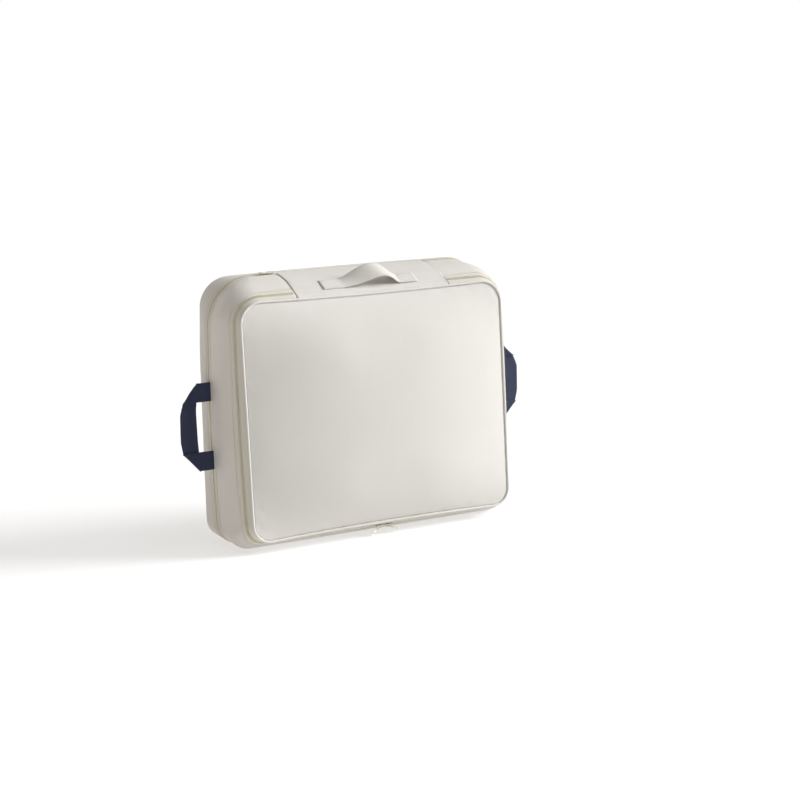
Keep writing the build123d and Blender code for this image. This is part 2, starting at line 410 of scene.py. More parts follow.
def round_profile(radius, sides=12, squash=1.0):
    """Profile of a round or oval cord."""
    turn = np.arange(sides) * 2 * pi / sides
    return np.column_stack((radius * np.cos(turn), squash * radius * np.sin(turn)))


def flat_profile(width, thickness, crown=0.0, steps=7):
    """Profile of a tape: flat underneath, slightly crowned on top, with round edges."""
    x = np.linspace(-width / 2, width / 2, steps)
    top = thickness / 2 + crown * (1 - (2 * x / width) ** 2)
    upper = np.column_stack((x, top))
    lower = np.column_stack((x[::-1], np.full(steps, -thickness / 2)))
    ends = ((width / 2 + thickness * 0.35, 0.0), (-width / 2 - thickness * 0.35, 0.0))
    return np.vstack((upper, ends[:1], lower, ends[1:]))


def swept(name, line, out, profile, closed):
    """Band or cord of any closed profile (across, outward) along a line round the case."""
    along = unit(slope(line, 0, closed))
    across = unit(np.cross(along, out))
    rings = section_rings(line, across, np.cross(across, along), profile)
    rows, sides = rings.shape[:2]
    place = np.column_stack((np.repeat(travelled(line), sides), np.tile(travelled(profile), rows)))
    faces = ring_faces(rows, sides) if closed else rod_faces(rows, sides)
    return new_mesh(name, above_floor(rings), flipped(faces), place)


def tube_shape(path, radius, sides):
    """Points and faces of a small closed tube along a few points."""
    path = np.asarray(path, float)
    along = unit(np.gradient(path, axis=0))
    side = unit(np.cross(along, np.array((1.0, 0.13, 0.0))))
    rings = section_rings(path, side, np.cross(along, side), round_profile(radius, sides))
    return rings.reshape(-1, 3), rod_faces(len(path), sides)


def stitch_row(name, line, out, length=2.7, gap=1.0, closed=False, radius=0.24):
    """Row of separate lockstitches lying on a surface along a line."""
    along = unit(slope(line, 0, closed))
    places, ways, ups = spread(line, length + gap, closed, along, out)
    half = length / 2
    path = [(-half, 0, -0.22), (-half * 0.82, 0, 0.02), (0, 0, 0.12), (half * 0.82, 0, 0.02),
            (half, 0, -0.22)]
    points, faces = tube_shape(path, radius, 5)
    return copies(name, points, faces, places, ways, ups, unit(np.cross(ways, ups)))


def join(name, pieces):
    """Join several mesh objects into one."""
    bpy.ops.object.select_all(action="DESELECT")
    for piece in pieces:
        piece.select_set(True)
    bpy.context.view_layer.objects.active = pieces[0]
    bpy.ops.object.join()
    pieces[0].name = name
    return pieces[0]


def finish_piece(piece, body, material):
    """Material, slot and body of a piece."""
    piece.data.materials.clear()
    piece.data.materials.append(material)
    if body:
        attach(piece, body)


# ---- materials
class Nodes:
    """Short names for making and linking shader nodes."""

    def __init__(self, name):
        self.material = bpy.data.materials.new(name)
        self.material.use_nodes = True
        self.tree = self.material.node_tree
        self.shader = self.tree.nodes["Principled BSDF"]

    def add(self, kind, **values):
        node = self.tree.nodes.new(kind)
        for key, value in values.items():
            setattr(node, key, value)
        return node

    def feed(self, socket, value):
        """Link an output to a socket, or set its number or colour."""
        if isinstance(value, bpy.types.NodeSocket):
            self.tree.links.new(value, socket)
        else:
            socket.default_value = (*value, 1.0) if isinstance(value, tuple) else value

    def math(self, operation, *values):
        node = self.add("ShaderNodeMath", operation=operation)
        for socket, value in zip(node.inputs, values):
            self.feed(socket, value)
        return node.outputs[0]

    def wave(self, place, period):
        """Sine of a place along the cloth, with a period in the same unit."""
        return self.math("SINE", self.math("MULTIPLY", place, 2 * pi / period))

    def noise(self, scale, detail=2.0):
        node = self.add("ShaderNodeTexNoise")
        place = self.add("ShaderNodeTexCoord").outputs["Object"]
        for key, value in (("Scale", scale), ("Detail", detail), ("Vector", place)):
            self.feed(node.inputs[key], value)
        return node.outputs["Fac"]

    def cloth(self):
        """u and v, in millimetres, of the place on the flat cloth."""
        place = self.add("ShaderNodeAttribute", attribute_name="cloth")
        parts = self.add("ShaderNodeSeparateXYZ")
        self.feed(parts.inputs[0], place.outputs["Vector"])
        return parts.outputs[0], parts.outputs[1]

    def blend_colours(self, factor, first, second):
        node = self.add("ShaderNodeMix", data_type="RGBA")
        for socket, value in zip((node.inputs[0], *node.inputs[6:8]), (factor, first, second)):
            self.feed(socket, value)
        return node.outputs[2]

    def bump(self, height, distance, strength, after=None):
        """Normal with a relief of some millimetres, added to another normal."""
        node = self.add("ShaderNodeBump")
        node.inputs["Distance"].default_value = distance * MM
        node.inputs["Strength"].default_value = strength
        self.feed(node.inputs["Height"], height)
        if after is not None:
            self.feed(node.inputs["Normal"], after)
        return node.outputs["Normal"]

    def set(self, **values):
        for name, value in values.items():
            self.feed(self.shader.inputs[name.replace("_", " ")], value)


def darker(colour, factor):
    return tuple(c * factor for c in colour)


def plain_weave(nodes, thread):
    """Height from 0 to 1 of a plain weave with threads of the given width in millimetres."""
    u, v = (nodes.math("DIVIDE", place, thread) for place in nodes.cloth())
    warp, weft = (nodes.math("ABSOLUTE", nodes.wave(place, 2.0)) for place in (u, v))
    count = nodes.math("ADD", nodes.math("FLOOR", u), nodes.math("FLOOR", v))
    over = nodes.math("PINGPONG", count, 1.0)
    under = nodes.math("SUBTRACT", 1.0, over)
    return nodes.math("ADD", nodes.math("MULTIPLY", warp, over),
                      nodes.math("MULTIPLY", weft, under))


def woven(name, light, dark, thread, roughness, sheen, relief, crease=0.0):
    """Woven cloth: threads with painted shade between them, uneven yarn colour, faint soiling and
    fine creases.
    """
    nodes = Nodes(name)
    weave = plain_weave(nodes, thread)
    yarn = nodes.noise(420.0)
    tone = nodes.blend_colours(nodes.noise(9.0, 3.0), dark, light)
    # Darker where the yarn noise is low (uneven yarn colour) and, as painted shade, where the weave
    # dips between the threads.
    shade = nodes.math("MULTIPLY_ADD", yarn, 0.65, nodes.math("MULTIPLY", weave, 0.35))
    yarn_tone_and_weave_shade = nodes.math("MULTIPLY", nodes.math("SUBTRACT", 1.0, shade), 0.5)
    normal = nodes.bump(weave, relief, 0.6)
    if crease:
        normal = nodes.bump(nodes.noise(28.0, 4.0), crease, 1.0, normal)
    nodes.set(Base_Color=nodes.blend_colours(yarn_tone_and_weave_shade, tone, darker(dark, 0.86)), Normal=normal,
              Roughness=nodes.math("MULTIPLY_ADD", yarn, 0.12, roughness - 0.06),
              Sheen_Weight=sheen, Sheen_Roughness=0.5, Specular_IOR_Level=0.3)
    return nodes.material


def ribbed(name, light, dark, rib, slant, roughness, relief):
    """Narrow woven tape: ribs along or across it, with painted shade in their grooves and a fleck of
    yarn colour.
    """
    nodes = Nodes(name)
    u, v = nodes.cloth()
    wave = nodes.wave(nodes.math("MULTIPLY_ADD", u, slant, v), rib)
    rise = nodes.math("MULTIPLY_ADD", wave, 0.5, 0.5)
    cross = nodes.math("ADD", nodes.wave(u, rib * 0.8), 1.0)
    both = nodes.math("MULTIPLY_ADD", rise, 0.75, nodes.math("MULTIPLY", cross, 0.12))
    # Painted shade: the colour follows the rib height, darker in the grooves and lighter on the
    # crests.
    tone = nodes.blend_colours(both, dark, light)
    fleck = nodes.math("MULTIPLY", nodes.noise(500.0), 0.35)
    nodes.set(Base_Color=nodes.blend_colours(fleck, tone, darker(dark, 0.75)),
              Normal=nodes.bump(both, relief, 0.8), Roughness=roughness,
              Sheen_Weight=0.2, Sheen_Roughness=0.45, Specular_IOR_Level=0.3)
    return nodes.material


def moulded(name, light, dark, roughness, coat=0.0):
    """Smooth painted or moulded surface with slight handling wear."""
    nodes = Nodes(name)
    patches = nodes.noise(120.0, 3.0)
    nodes.set(Base_Color=nodes.blend_colours(patches, dark, light), Coat_Weight=coat,
              Roughness=nodes.math("MULTIPLY_ADD", patches, 0.15, roughness - 0.07),
              Normal=nodes.bump(nodes.noise(900.0), 0.02, 0.4))
    return nodes.material


SHELL = woven("shell_cloth", (0.72, 0.695, 0.652), (0.68, 0.652, 0.608), thread=0.42,
              roughness=0.72, sheen=0.25, relief=0.10, crease=0.22)
LINING = woven("lining_cloth", (0.74, 0.71, 0.65), (0.70, 0.67, 0.60), thread=0.3,
               roughness=0.6, sheen=0.15, relief=0.06, crease=0.3)
PIPING_CLOTH = woven("piping_cloth", (0.745, 0.73, 0.70), (0.70, 0.68, 0.645), thread=0.40,
                     roughness=0.7, sheen=0.25, relief=0.10)
THREAD = moulded("thread", (0.70, 0.68, 0.63), (0.62, 0.60, 0.545), roughness=0.6)
NAVY_THREAD = moulded("navy_thread", (0.045, 0.055, 0.10), (0.025, 0.030, 0.06), roughness=0.6)
ZIP_TAPE = ribbed("zip_tape_cloth", (0.715, 0.685, 0.60), (0.64, 0.61, 0.525), rib=1.0,
                  slant=0.35, roughness=0.75, relief=0.10)
BINDING_TAPE = ribbed("binding_cloth", (0.70, 0.675, 0.60), (0.62, 0.595, 0.52), rib=0.8,
                      slant=0.0, roughness=0.75, relief=0.10)
COIL = moulded("coil_nylon", (0.80, 0.775, 0.64), (0.75, 0.72, 0.585), roughness=0.38)
SLIDER = moulded("slider_paint", (0.80, 0.765, 0.67), (0.70, 0.665, 0.575), roughness=0.34,
                 coat=0.3)
WEBBING = ribbed("navy_webbing", (0.038, 0.048, 0.108), (0.017, 0.022, 0.052), rib=1.55,
                 slant=0.0, roughness=0.62, relief=0.25)


# ---- cloth walls
def hem_rows(start, end, spacing=2.6):
    """Depths across a wall, close together at both of its hems."""
    near = [distance for distance, _ in HEM_SHAPE]
    middle = np.arange(start + near[-1], end - near[-1], spacing)[1:]
    return np.concatenate((start + np.array(near), middle, end - np.array(near[::-1])))


def hem_lift(distance, puff, width):
    """Lift of a wall at a distance from its nearer hem: a folded, stitched edge, then puffed."""
    along, lift = zip(*HEM_SHAPE)
    edge = np.interp(distance, along, lift)
    inside = np.clip((distance - along[-1]) / (width / 2 - along[-1]), 0.0, 1.0)
    return edge + puff * np.sin(inside * pi / 2) ** 0.9


def beside(distance, reach):
    """1 at a reach from a hem, fading to both sides."""
    return np.exp(-((distance - reach) / reach) ** 2)


def wall(name, start, end, part, puff, seed, pucker=0.22):
    """Cloth wall between two hems, puffed by the filling, with fine puckers along the hems."""
    depths = hem_rows(start, end)
    closed = part == "all"
    grid = skin(depths, part)
    out = outward(grid, closed)
    distance = np.minimum(depths - start, end - depths)[:, None]
    lift = hem_lift(distance, puff, end - start) + 0.35 * ripple(grid, seed, LONG_WAVE)
    sideways = 0.25 + 0.75 * np.abs(out[..., 0])  # the sides puff out more than top and bottom
    lift = np.where(lift > 0, lift * sideways, lift)
    lift = lift + pucker * beside(distance, PUCKER_REACH) * ripple(grid, seed + 1, PUCKER_WAVE)
    if part == "under":
        tucked = np.clip((np.abs(grid[..., 0]) - TOP_HALF + UNDERLAP) / (3 * UNDERLAP), 0, 1)
        lift = np.where(grid[..., 2] > MID_HEIGHT, lift * tucked - 0.5 * (1 - tucked), lift)
    grid = above_floor(grid + out * lift[..., None])
    return cloth_piece(name, grid, CLOTH, closed)


def hem_stitches(name, depth, part, lift=0.12):
    """Topstitching round the case at one depth."""
    line, out = ring_line(depth, part, lift)
    return stitch_row(name, above_floor(line), out, closed=part == "all")


def square_to_panel(half, low, high, corner, foot, u, v):
    """Map a square grid (u and v from -1 to 1) onto a rectangle with round corners."""
    reach = (high - low) / 2
    corner = np.where(v > 0, corner, foot)
    x, z = np.abs(u) * half, np.abs(v) * reach
    p, q = np.clip((x - half + corner) / corner, 0, 1), np.clip((z - reach + corner) / corner, 0, 1)
    in_corner = (p > 0) & (q > 0)
    x = np.where(in_corner, half - corner + corner * p * np.sqrt(1 - q * q / 2), x)
    z = np.where(in_corner, reach - corner + corner * q * np.sqrt(1 - p * p / 2), z)
    return np.sign(u) * x, (low + high) / 2 + np.sign(v) * z


def panel_grid(depth, inset, columns=101, rows=85):
    """Grid over a section of the case at a depth, and its u and v from -1 to 1."""
    def spaced(count):
        """Even steps, drawn closer together towards both ends."""
        t = np.linspace(-1, 1, count)
        return t + 0.17 * np.sin(pi * t)

    half, low, high, corner, foot, bows = inset_shape(depth, inset)
    v, u = np.meshgrid(spaced(rows), spaced(columns), indexing="ij")
    x, z = square_to_panel(half, low, high, corner, foot, u, v)
    path = bowed(np.column_stack((x.ravel(), z.ravel())), half, low, high, *bows)
    return on_case(depth, path).reshape(rows, columns, 3), u, v


def swell(piece, pinned, pressure, cap):
    """Blow a cloth panel out with Blender's cloth, held at its seam, and keep the result."""
    rest = np.array([v.co for v in piece.data.vertices])
    group = piece.vertex_groups.new(name="seam")
    group.add([int(i) for i in pinned], 1.0, "REPLACE")
    cloth = piece.modifiers.new("cloth", "CLOTH")
    for setting, value in (("quality", 6), ("mass", 0.2), ("tension_stiffness", 14),
                           ("compression_stiffness", 14), ("shear_stiffness", 8),
                           ("bending_stiffness", 1.2), ("vertex_group_mass", "seam"),
                           ("use_pressure", True), ("uniform_pressure_force", pressure)):
        setattr(cloth.settings, setting, value)
    cloth.settings.effector_weights.gravity = 0
    cloth.collision_settings.use_collision = False
    scene = bpy.context.scene
    for step in range(1, 21):
        scene.frame_set(step)
    with_modifiers(piece)
    scene.frame_set(1)
    moved = np.array([v.co for v in piece.data.vertices])
    change = moved - rest
    size = np.linalg.norm(change, axis=1, keepdims=True)
    change *= np.minimum(1.0, cap * MM / np.maximum(size, 1e-9))
    piece.data.vertices.foreach_set("co", (rest + change).ravel())
    piece.data.update()
    piece.vertex_groups.clear()


def falling(place, start, power):
    """1 in the middle of a panel, and from start on falling to 0 at its edge, where place is 1."""
    return 1 - np.clip((np.abs(place) - start) / (1 - start), 0, 1) ** power


def dome(name, seam, bulge, way, seed, sunk):
    """Stuffed cover panel: crowned, steep at its seam, with its rim turned in behind the piping."""
    grid, u, v = panel_grid(seam, 1.6)
    rise = falling(u, 0.28, 1.6) * falling(v, 0.40, 2.2)
    edge = np.minimum(1 - np.abs(u), 1 - np.abs(v))
    soft = 0.45 * ripple(grid, seed, 120.0) * np.clip(edge * 5, 0, 1)
    fine = 0.30 * ripple(grid, seed + 1, 17.0) * np.exp(-((edge - 0.045) / 0.04) ** 2)
    grid[..., 1] += way * (bulge * rise + soft + fine - sunk)
    faces = grid_faces(*u.shape, False)
    if way > 0:
        faces = flipped(faces)
    piece = new_mesh(name, grid, faces, cloth_place(grid))
    rim = np.flatnonzero((edge < 1e-6).ravel())
    swell(piece, rim, 2.0, 3.0)
    return thicken(piece, CLOTH)


def build_walls():
    """The shell: both cover panels and both gussets, with the topstitching of their hems."""
    front = dome("front_panel_cloth", FRONT_SEAM + 1.2, FRONT_BULGE, -1, 11, 0.6)
    finish_piece(front, "front_cover", SHELL)
    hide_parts("front_panel")

    rear = dome("rear_panel_cloth", REAR_SEAM, REAR_BULGE, 1, 23, 1.4)
    finish_piece(rear, "rear_cover", SHELL)
    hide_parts("rear_panel")

    gusset = wall("middle_gusset_cloth", FRONT_HEM, REAR_HEM, "under", 0.9, 31)
    finish_piece(gusset, "root", SHELL)
    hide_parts("middle_gusset")

    lid_wall = wall("rear_gusset_cloth", LID_HEM, REAR_SEAM + 0.6, "all", 0.8, 41)
    finish_piece(lid_wall, "rear_cover", SHELL)
    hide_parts("rear_gusset")

    for name, depth, part, body in (
            ("gusset_front_stitches", FRONT_HEM + STITCH_INSET, "open", "root"),
            ("gusset_rear_stitches", REAR_HEM - STITCH_INSET, "open", "root"),
            ("lid_front_stitches", LID_HEM + STITCH_INSET, "all", "rear_cover")):
        row = hem_stitches(name, depth, part)
        finish_piece(row, body, THREAD)


def build_top_panel():
    """Panel sewn into the middle of the top, and the stitches of its cross seams."""
    depths = hem_rows(TOP_PANEL_FRONT, TOP_PANEL_REAR)
    grid = skin(depths, "top")
    out = outward(grid)
    across = np.abs(np.abs(grid[..., 0]) - TOP_HALF)
    fold = np.interp(across, *zip(*HEM_SHAPE)) - HEM_SHAPE[-1][1]
    rise = 0.35 + fold + 0.3 * ripple(grid, 53, 80.0)
    rise = rise + 0.2 * beside(across, PUCKER_REACH) * ripple(grid, 54, 12.0)
    from_front = np.clip((depths - TOP_PANEL_FRONT) / 4.0, 0, 1)[:, None]
    rise = rise - 0.5 * (1 - from_front) ** 3
    panel = cloth_piece("top_panel_cloth", grid + out * rise[..., None], CLOTH)
    finish_piece(panel, "root", SHELL)
    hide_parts("top_panel")

    for side, side_name in ((-1, "left"), (1, "right")):
        seam = side * (TOP_HALF - 2.2)
        column = int(np.argmin(np.abs(grid[0, :, 0] - seam)))
        line = grid[1:-1, column] + out[1:-1, column] * 0.7
        line[:, 0] = seam
        row = stitch_row(f"top_panel_{side_name}_stitches", line, out[1:-1, column])
        finish_piece(row, "root", THREAD)


def build_hinges():
    """Cloth strips over the places where the two covers fold open."""
    strip = skin(np.linspace(*REAR_HINGE, 14), "top")
    strip = strip - outward(strip) * 0.25
    hinge = cloth_piece("rear_hinge_cloth", strip, CLOTH)
    finish_piece(hinge, None, SHELL)
    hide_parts("rear_hinge_strip")
    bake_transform(hinge)

    flap = skin(np.linspace(*FRONT_HINGE, 12), "top")
    flap = flap - outward(flap) * 1.6
    flap_piece = cloth_piece("front_hinge_cloth", flap, 0.8)
    finish_piece(flap_piece, None, SHELL)
    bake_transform(flap_piece)


def build_piping():
    """Cord piping round the front panel and the bindings inside both seams."""
    line, out = ring_line(PIPING_DEPTH, "all", -0.15)
    line, out = spread(line, 2.5, True, out)
    cord = swept("front_piping_cord", line, out, round_profile(PIPING_RADIUS, 14), True)
    finish_piece(cord, "front_cover", PIPING_CLOTH)
    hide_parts("front_piping")

    for name, node, depth, lift, body in (
            ("front_binding_tape", "front_seam_binding", FRONT_SEAM + 3.5, -5.2, "front_cover"),
            ("rear_binding_tape", "rear_seam_binding", REAR_SEAM - 3.7, -5.6, "rear_cover")):
        line, out = ring_line(depth, "all", lift)
        line, out = spread(line, 4.0, True, out)
        binding = swept(name, line, out, flat_profile(1.2, BINDING_WIDTH), True)
        finish_piece(binding, body, BINDING_TAPE)
        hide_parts(node)


def build_divider():
    """Thin cloth wall between the two compartments, hanging a little slack."""
    grid, u, v = panel_grid(DIVIDER_DEPTH, DIVIDER_INSET, 61, 51)
    free = (1 - u ** 4) * (1 - v ** 4)
    grid[..., 1] += free * (1.6 * ripple(grid, 61, 150.0) + 0.5)
    grid = above_floor(grid)
    rim = outline(DIVIDER_DEPTH, "all", DIVIDER_INSET) * MM
    piece = new_mesh("divider_cloth", grid, grid_faces(*u.shape, False), cloth_place(grid))
    thicken(piece, DIVIDER_THICK, 0.0)
    finish_piece(piece, "root", LINING)
    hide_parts("divider")


# ---- zips
def zip_tape(name, node, start, end, zip_line, body):
    """One woven tape of a zip, with the thicker cord edge that carries the coil."""
    depths = np.linspace(start, end, 13)
    grid = skin(depths, "open")
    lift = np.interp(np.abs(depths - zip_line), *zip(*TAPE_SHAPE))
    grid = above_floor(grid + outward(grid) * lift[:, None, None])
    piece = cloth_piece(name, grid, TAPE_THICK)
    finish_piece(piece, body, ZIP_TAPE)
    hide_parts(node)


def coil_half(name, node, centre, way, body):
    """Half of a nylon coil: one small loop after another, heads towards the other half."""
    line, out = ring_line(centre, "open")
    along = unit(slope(line, 0, False))
    places, ways, ups, across = spread(line, COIL_PITCH, False, along, out,
                                       unit(np.cross(along, out)))
    places = places + ways * way * COIL_PITCH / 4
    # Points of a loop: along the zip, towards the other half, and outward.
    loop = [(-0.25, -2.15, -0.45), (-0.15, -2.35, 0.0), (0.0, -2.0, 0.42), (0.0, -1.0, 0.52),
            (0.0, 0.1, 0.46), (0.08, 0.25, 0.1), (0.1, -0.1, -0.3), (0.5, -1.9, -0.42)]
    points, faces = tube_shape(loop, COIL_WIRE, 5)
    teeth = copies("teeth", points, faces, above_floor(places), ways, ups, across * -way)
    core, core_out = ring_line(centre + way * 1.2, "open", 0.05)
    pieces = [teeth, swept("core", core, core_out, round_profile(0.30, 6, 0.8), False)]
    for distance in (1.0, 1.75):
        stitch, stitch_out = ring_line(centre + way * distance, "open", 0.55)
        pieces.append(stitch_row("stitch", above_floor(stitch), stitch_out, 1.3, 0.45,
                                 radius=0.14))
    piece = join(name, pieces)
    finish_piece(piece, body, COIL)
    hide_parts(node)


def build_zips():
    """Both zips: two tapes, each from its hidden edge to its coil, and two coil halves."""
    halves = (("front", "cover", FRONT_ZIP, -1, -48.8, "front_cover"),
              ("front", "case", FRONT_ZIP, 1, -31.5, "root"),
              ("rear", "case", REAR_ZIP, -1, 18.5, "root"),
              ("rear", "cover", REAR_ZIP, 1, 37.5, "rear_cover"))
    for place, half, centre, way, edge, body in halves:
        start, end = sorted((edge, centre + way * TAPE_GAP))
        zip_tape(f"{place}_{half}_zip_tape", f"{place}_zip_{half}_tape", start, end, centre, body)
    for place, half, centre, way, _, body in halves:
        coil_half(f"{place}_{half}_coil_teeth", f"{place}_zip_{half}_coil", centre, way, body)


# ---- sliders and pulls
def joint(name):
    return next(j for j in frame["joints"] if j["name"] == name)


def pivot_frame(name):
    """Frame at a pull's pivot: x along the zip, y along the pivot, z out of the case."""
    hinge = joint(name)
    y = Vector(hinge["axis"]).normalized()
    x = Vector((1.0, 0.0, 0.0))
    z = x.cross(y)
    matrix = Matrix((x, y, z)).transposed().to_4x4()
    matrix.translation = Vector(hinge["pos_m"])
    return matrix @ Matrix.Scale(MM, 4)


def plate(name, outlines, thickness, rounding, place):
    """Flat plate with rounded edges; the first outline is its edge, the others are holes."""
    curve = bpy.data.curves.new(name, "CURVE")
    curve.dimensions = "2D"
    curve.fill_mode = "BOTH"
    curve.extrude = thickness / 2 - rounding
    curve.bevel_depth = rounding
    curve.bevel_resolution = 2
    curve.offset = -rounding
    for points in outlines:
        spline = curve.splines.new("POLY")
        spline.points.add(len(points) - 1)
        for point, (x, y) in zip(spline.points, points):
            point.co = (x, y, 0.0, 1.0)
        spline.use_cyclic_u = True
    shape = add_object(name, curve)
    mesh = bpy.data.meshes.new_from_object(
        shape.evaluated_get(bpy.context.evaluated_depsgraph_get()))
    bpy.data.objects.remove(shape)
    mesh.transform(place)
    piece = add_object(name, mesh)
    mesh.polygons.foreach_set("use_smooth", [True] * len(mesh.polygons))
    mesh.set_sharp_from_angle(angle=radians(50))
    return piece


def mesh_at(place, name, points, faces):
    """Mesh object in a frame that scales millimetres to metres itself."""
    piece = new_mesh(name, points, faces)
    piece.data.transform(place @ Matrix.Scale(1 / MM, 4))
    return piece


def squared_circle(count, power_x, power_y):
    """Points of a unit circle, squared off towards its corners by powers under 1."""
    turn = np.arange(count) * 2 * pi / count
    x, y = np.cos(turn), np.sin(turn)
    return np.sign(x) * np.abs(x) ** power_x, np.sign(y) * np.abs(y) ** power_y


def slider_outline(near, far, nose):
    """Plan of a slider: a rounded shield, wider at its nose."""
    x, y = squared_circle(48, 0.75, 0.7)
    y = y * (0.86 + 0.14 * nose * x)
    return np.column_stack((SLIDER_LENGTH / 2 * x, (near + far) / 2 + y * (far - near) / 2))


def crown(place, middle):
    """Bridge over the pull: a flat bar bent into an arch along the zip."""
    foot = [(4.7, -0.95), (4.75, -0.2), (4.3, 0.75), (3.2, 1.12), (1.6, 1.2)]
    arch = [(-x, middle, z) for x, z in foot] + [(0.0, middle, 1.22)]
    line = np.array(arch + [(x, middle, z) for x, z in foot[::-1]])
    along = unit(np.gradient(line, axis=0))
    across = np.tile((0.0, 1.0, 0.0), (len(line), 1))
    wide, thick = squared_circle(16, 0.5, 0.7)
    rings = section_rings(line, across, np.cross(along, across),
                          np.column_stack((1.2 * wide, 0.36 * thick)))
    return mesh_at(place, "crown", rings, rod_faces(len(line), 16))


def slider(name, place, near, far, middle, nose, slant):
    """Zip slider: two plates with a web between them, a raised middle and a crown."""
    def at(height, x=0.0):
        return place @ Matrix.Translation((x, 0, height - PIVOT))

    wing = slider_outline(near, far, nose)
    raised = slider_outline(near + 1.1, far - 0.7, nose) * (0.8, 1.0)
    wedge = [(-1.5, -0.17), (1.5, -0.17), (1.5, 0.17), (-1.5, 0.17)]
    return join(name, [
        plate(name, [wing], PLATE_THICK, 0.32, at(1.6)),
        plate("lower", [wing], PLATE_THICK, 0.32, at(-2.0)),
        plate("raised", [raised], 0.5, 0.2, at(2.15)),
        crown(place, middle),
        plate("web", [wedge], 3.6, 0.05, at(-0.2, nose * 3.0) @ Matrix.Rotation(slant, 4, "X")),
    ])


def pull_outline():
    """Plan of a pull: a narrow neck that opens into a round tab."""
    head = PULL_LENGTH - PULL_WIDTH / 2
    turn = np.radians(np.linspace(-28, 208, 30))
    tab = np.column_stack((PULL_WIDTH / 2 * np.cos(turn), head + PULL_WIDTH / 2 * np.sin(turn)))
    neck = [(-2.75, 6.4), (-2.75, -0.1), (-2.35, -0.5), (2.35, -0.5), (2.75, -0.1), (2.75, 6.4)]
    return np.vstack((tab, neck))


def pull(name, place, middle, angle, roll=0.0):
    """Flat drop-shaped pull with a window round the crown and a hole near its tip."""
    turn = (Matrix.Translation((0, middle, 0))
            @ Matrix.Rotation(radians(angle - 90), 4, "Y")
            @ Matrix.Rotation(radians(-90), 4, "Z")
            @ Matrix.Rotation(radians(roll), 4, "Y"))
    window = [(-1.7, 0.45), (1.7, 0.45), (1.7, 5.4), (1.3, 6.0), (-1.3, 6.0), (-1.7, 5.4)]
    head = PULL_LENGTH - PULL_WIDTH / 2
    hole = round_profile(1.6, 28) + (0, head)
    tab = plate(name, [pull_outline(), window, hole], PLATE_THICK, 0.22, place @ turn)
    return join(name, [tab, hole_lip(place @ turn, head, 1.75, 0.28)])


def hole_lip(place, height, radius, thick):
    """Raised lip round the hole of a pull."""
    rim = np.column_stack((round_profile(1.0, 28), np.zeros(28)))
    rings = section_rings(radius * rim + (0, height, 0), rim, np.tile((0, 0, 1.0), (28, 1)),
                          round_profile(thick, 8, 2.0))
    return mesh_at(place, "ring", rings, ring_faces(28, 8))


def build_sliders():
    """Three sliders with their pulls."""
    # Across the zip: near and far edge of the plates, and the middle of the crown.
    front = (-SLIDER_WIDTH / 2, SLIDER_WIDTH / 2, 0)
    rear = (-5.8, 0.2, -REAR_SLIDER_SHIFT)
    slant = radians(24.0)
    for zip_name, side, reach, nose, lean, angle, roll in (
            ("front", "_left", front, 1, slant, LEFT_PULL_ANGLE, LEFT_PULL_ROLL),
            ("front", "_right", front, -1, slant, RIGHT_PULL_ANGLE, 0.0),
            ("rear", "", rear, 1, 0.0, REAR_PULL_ANGLE, 0.0)):
        middle = reach[2]
        pull_name, slider_name = f"{zip_name}_pull{side}", f"{zip_name}_slider{side}"
        place = pivot_frame(f"{pull_name}_swing") @ Matrix.Translation((0, -middle, 0))
        body = slider(f"{slider_name}_body", place, *reach, nose, lean)
        finish_piece(body, slider_name, SLIDER)
        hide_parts(slider_name)
        tab = pull(f"{pull_name}_tab", place, middle, angle, roll)
        finish_piece(tab, pull_name, SLIDER)
        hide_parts(pull_name)


# ---- top strap
def strap_frame():
    """Origin and axes of the strap on the sloping top: along x, across, and outward."""
    front, middle, rear = (on_case(depth, (0, shape_at(depth)[2]))[0]
                           for depth in (STRAP_DEPTH - 9, STRAP_DEPTH, STRAP_DEPTH + 9))
    across = unit(rear - front)
    return middle, across, np.cross((1.0, 0.0, 0.0), across)


def strap_point(x, across, lift):
    """Point on or in the strap; it arches between its sewn ends and twists a little."""
    origin, sideways, out = strap_frame()
    x, across, lift = np.broadcast_arrays(x, across, lift)
    t = np.clip(x / STRAP_SEWN, -1, 1)
    edge = across / (STRAP_WIDTH / 2)
    shifted = np.clip(t + STRAP_LEAN * (edge - 1) * (1 - t * t), -1, 1)
    rise = STRAP_RISE * np.cos(shifted * pi / 2) ** 1.45 * (1 + STRAP_TILT * edge)
    rise = rise + 0.8 * edge * np.sin(pi * t) * (np.abs(t) < 1)
    return (origin + x[..., None] * np.array((1.0, 0, 0)) + across[..., None] * sideways
            + (0.75 + rise + lift)[..., None] * out)


def strap_stitches(side):
    """Two edge rows along half of the strap, and a box and cross on its sewn end."""
    near, far, wide, edge = STRAP_SEWN + 2.5, STRAP_HALF - 2.5, 7.0, 8.3
    lines = [((0.5, a), (STRAP_HALF - 1.5, a)) for a in (-edge, edge)]
    lines += [((near, -wide), (far, wide)), ((near, wide), (far, -wide)),
              ((near, -wide), (near, wide)), ((far, -wide), (far, wide)),
              ((near, -wide), (far, -wide)), ((near, wide), (far, wide))]
    rows = []
    for (x0, a0), (x1, a1) in lines:
        t = np.linspace(0, 1, 60)
        x, across = side * (x0 + (x1 - x0) * t), a0 + (a1 - a0) * t
        line, above = (strap_point(x, across, STRAP_THICK + lift) for lift in (0.08, 1.08))
        row = stitch_row("stitch", line, unit(above - line), 2.2, 0.8, radius=0.2)
        row.data.materials.append(THREAD)
        rows.append(row)
    return rows


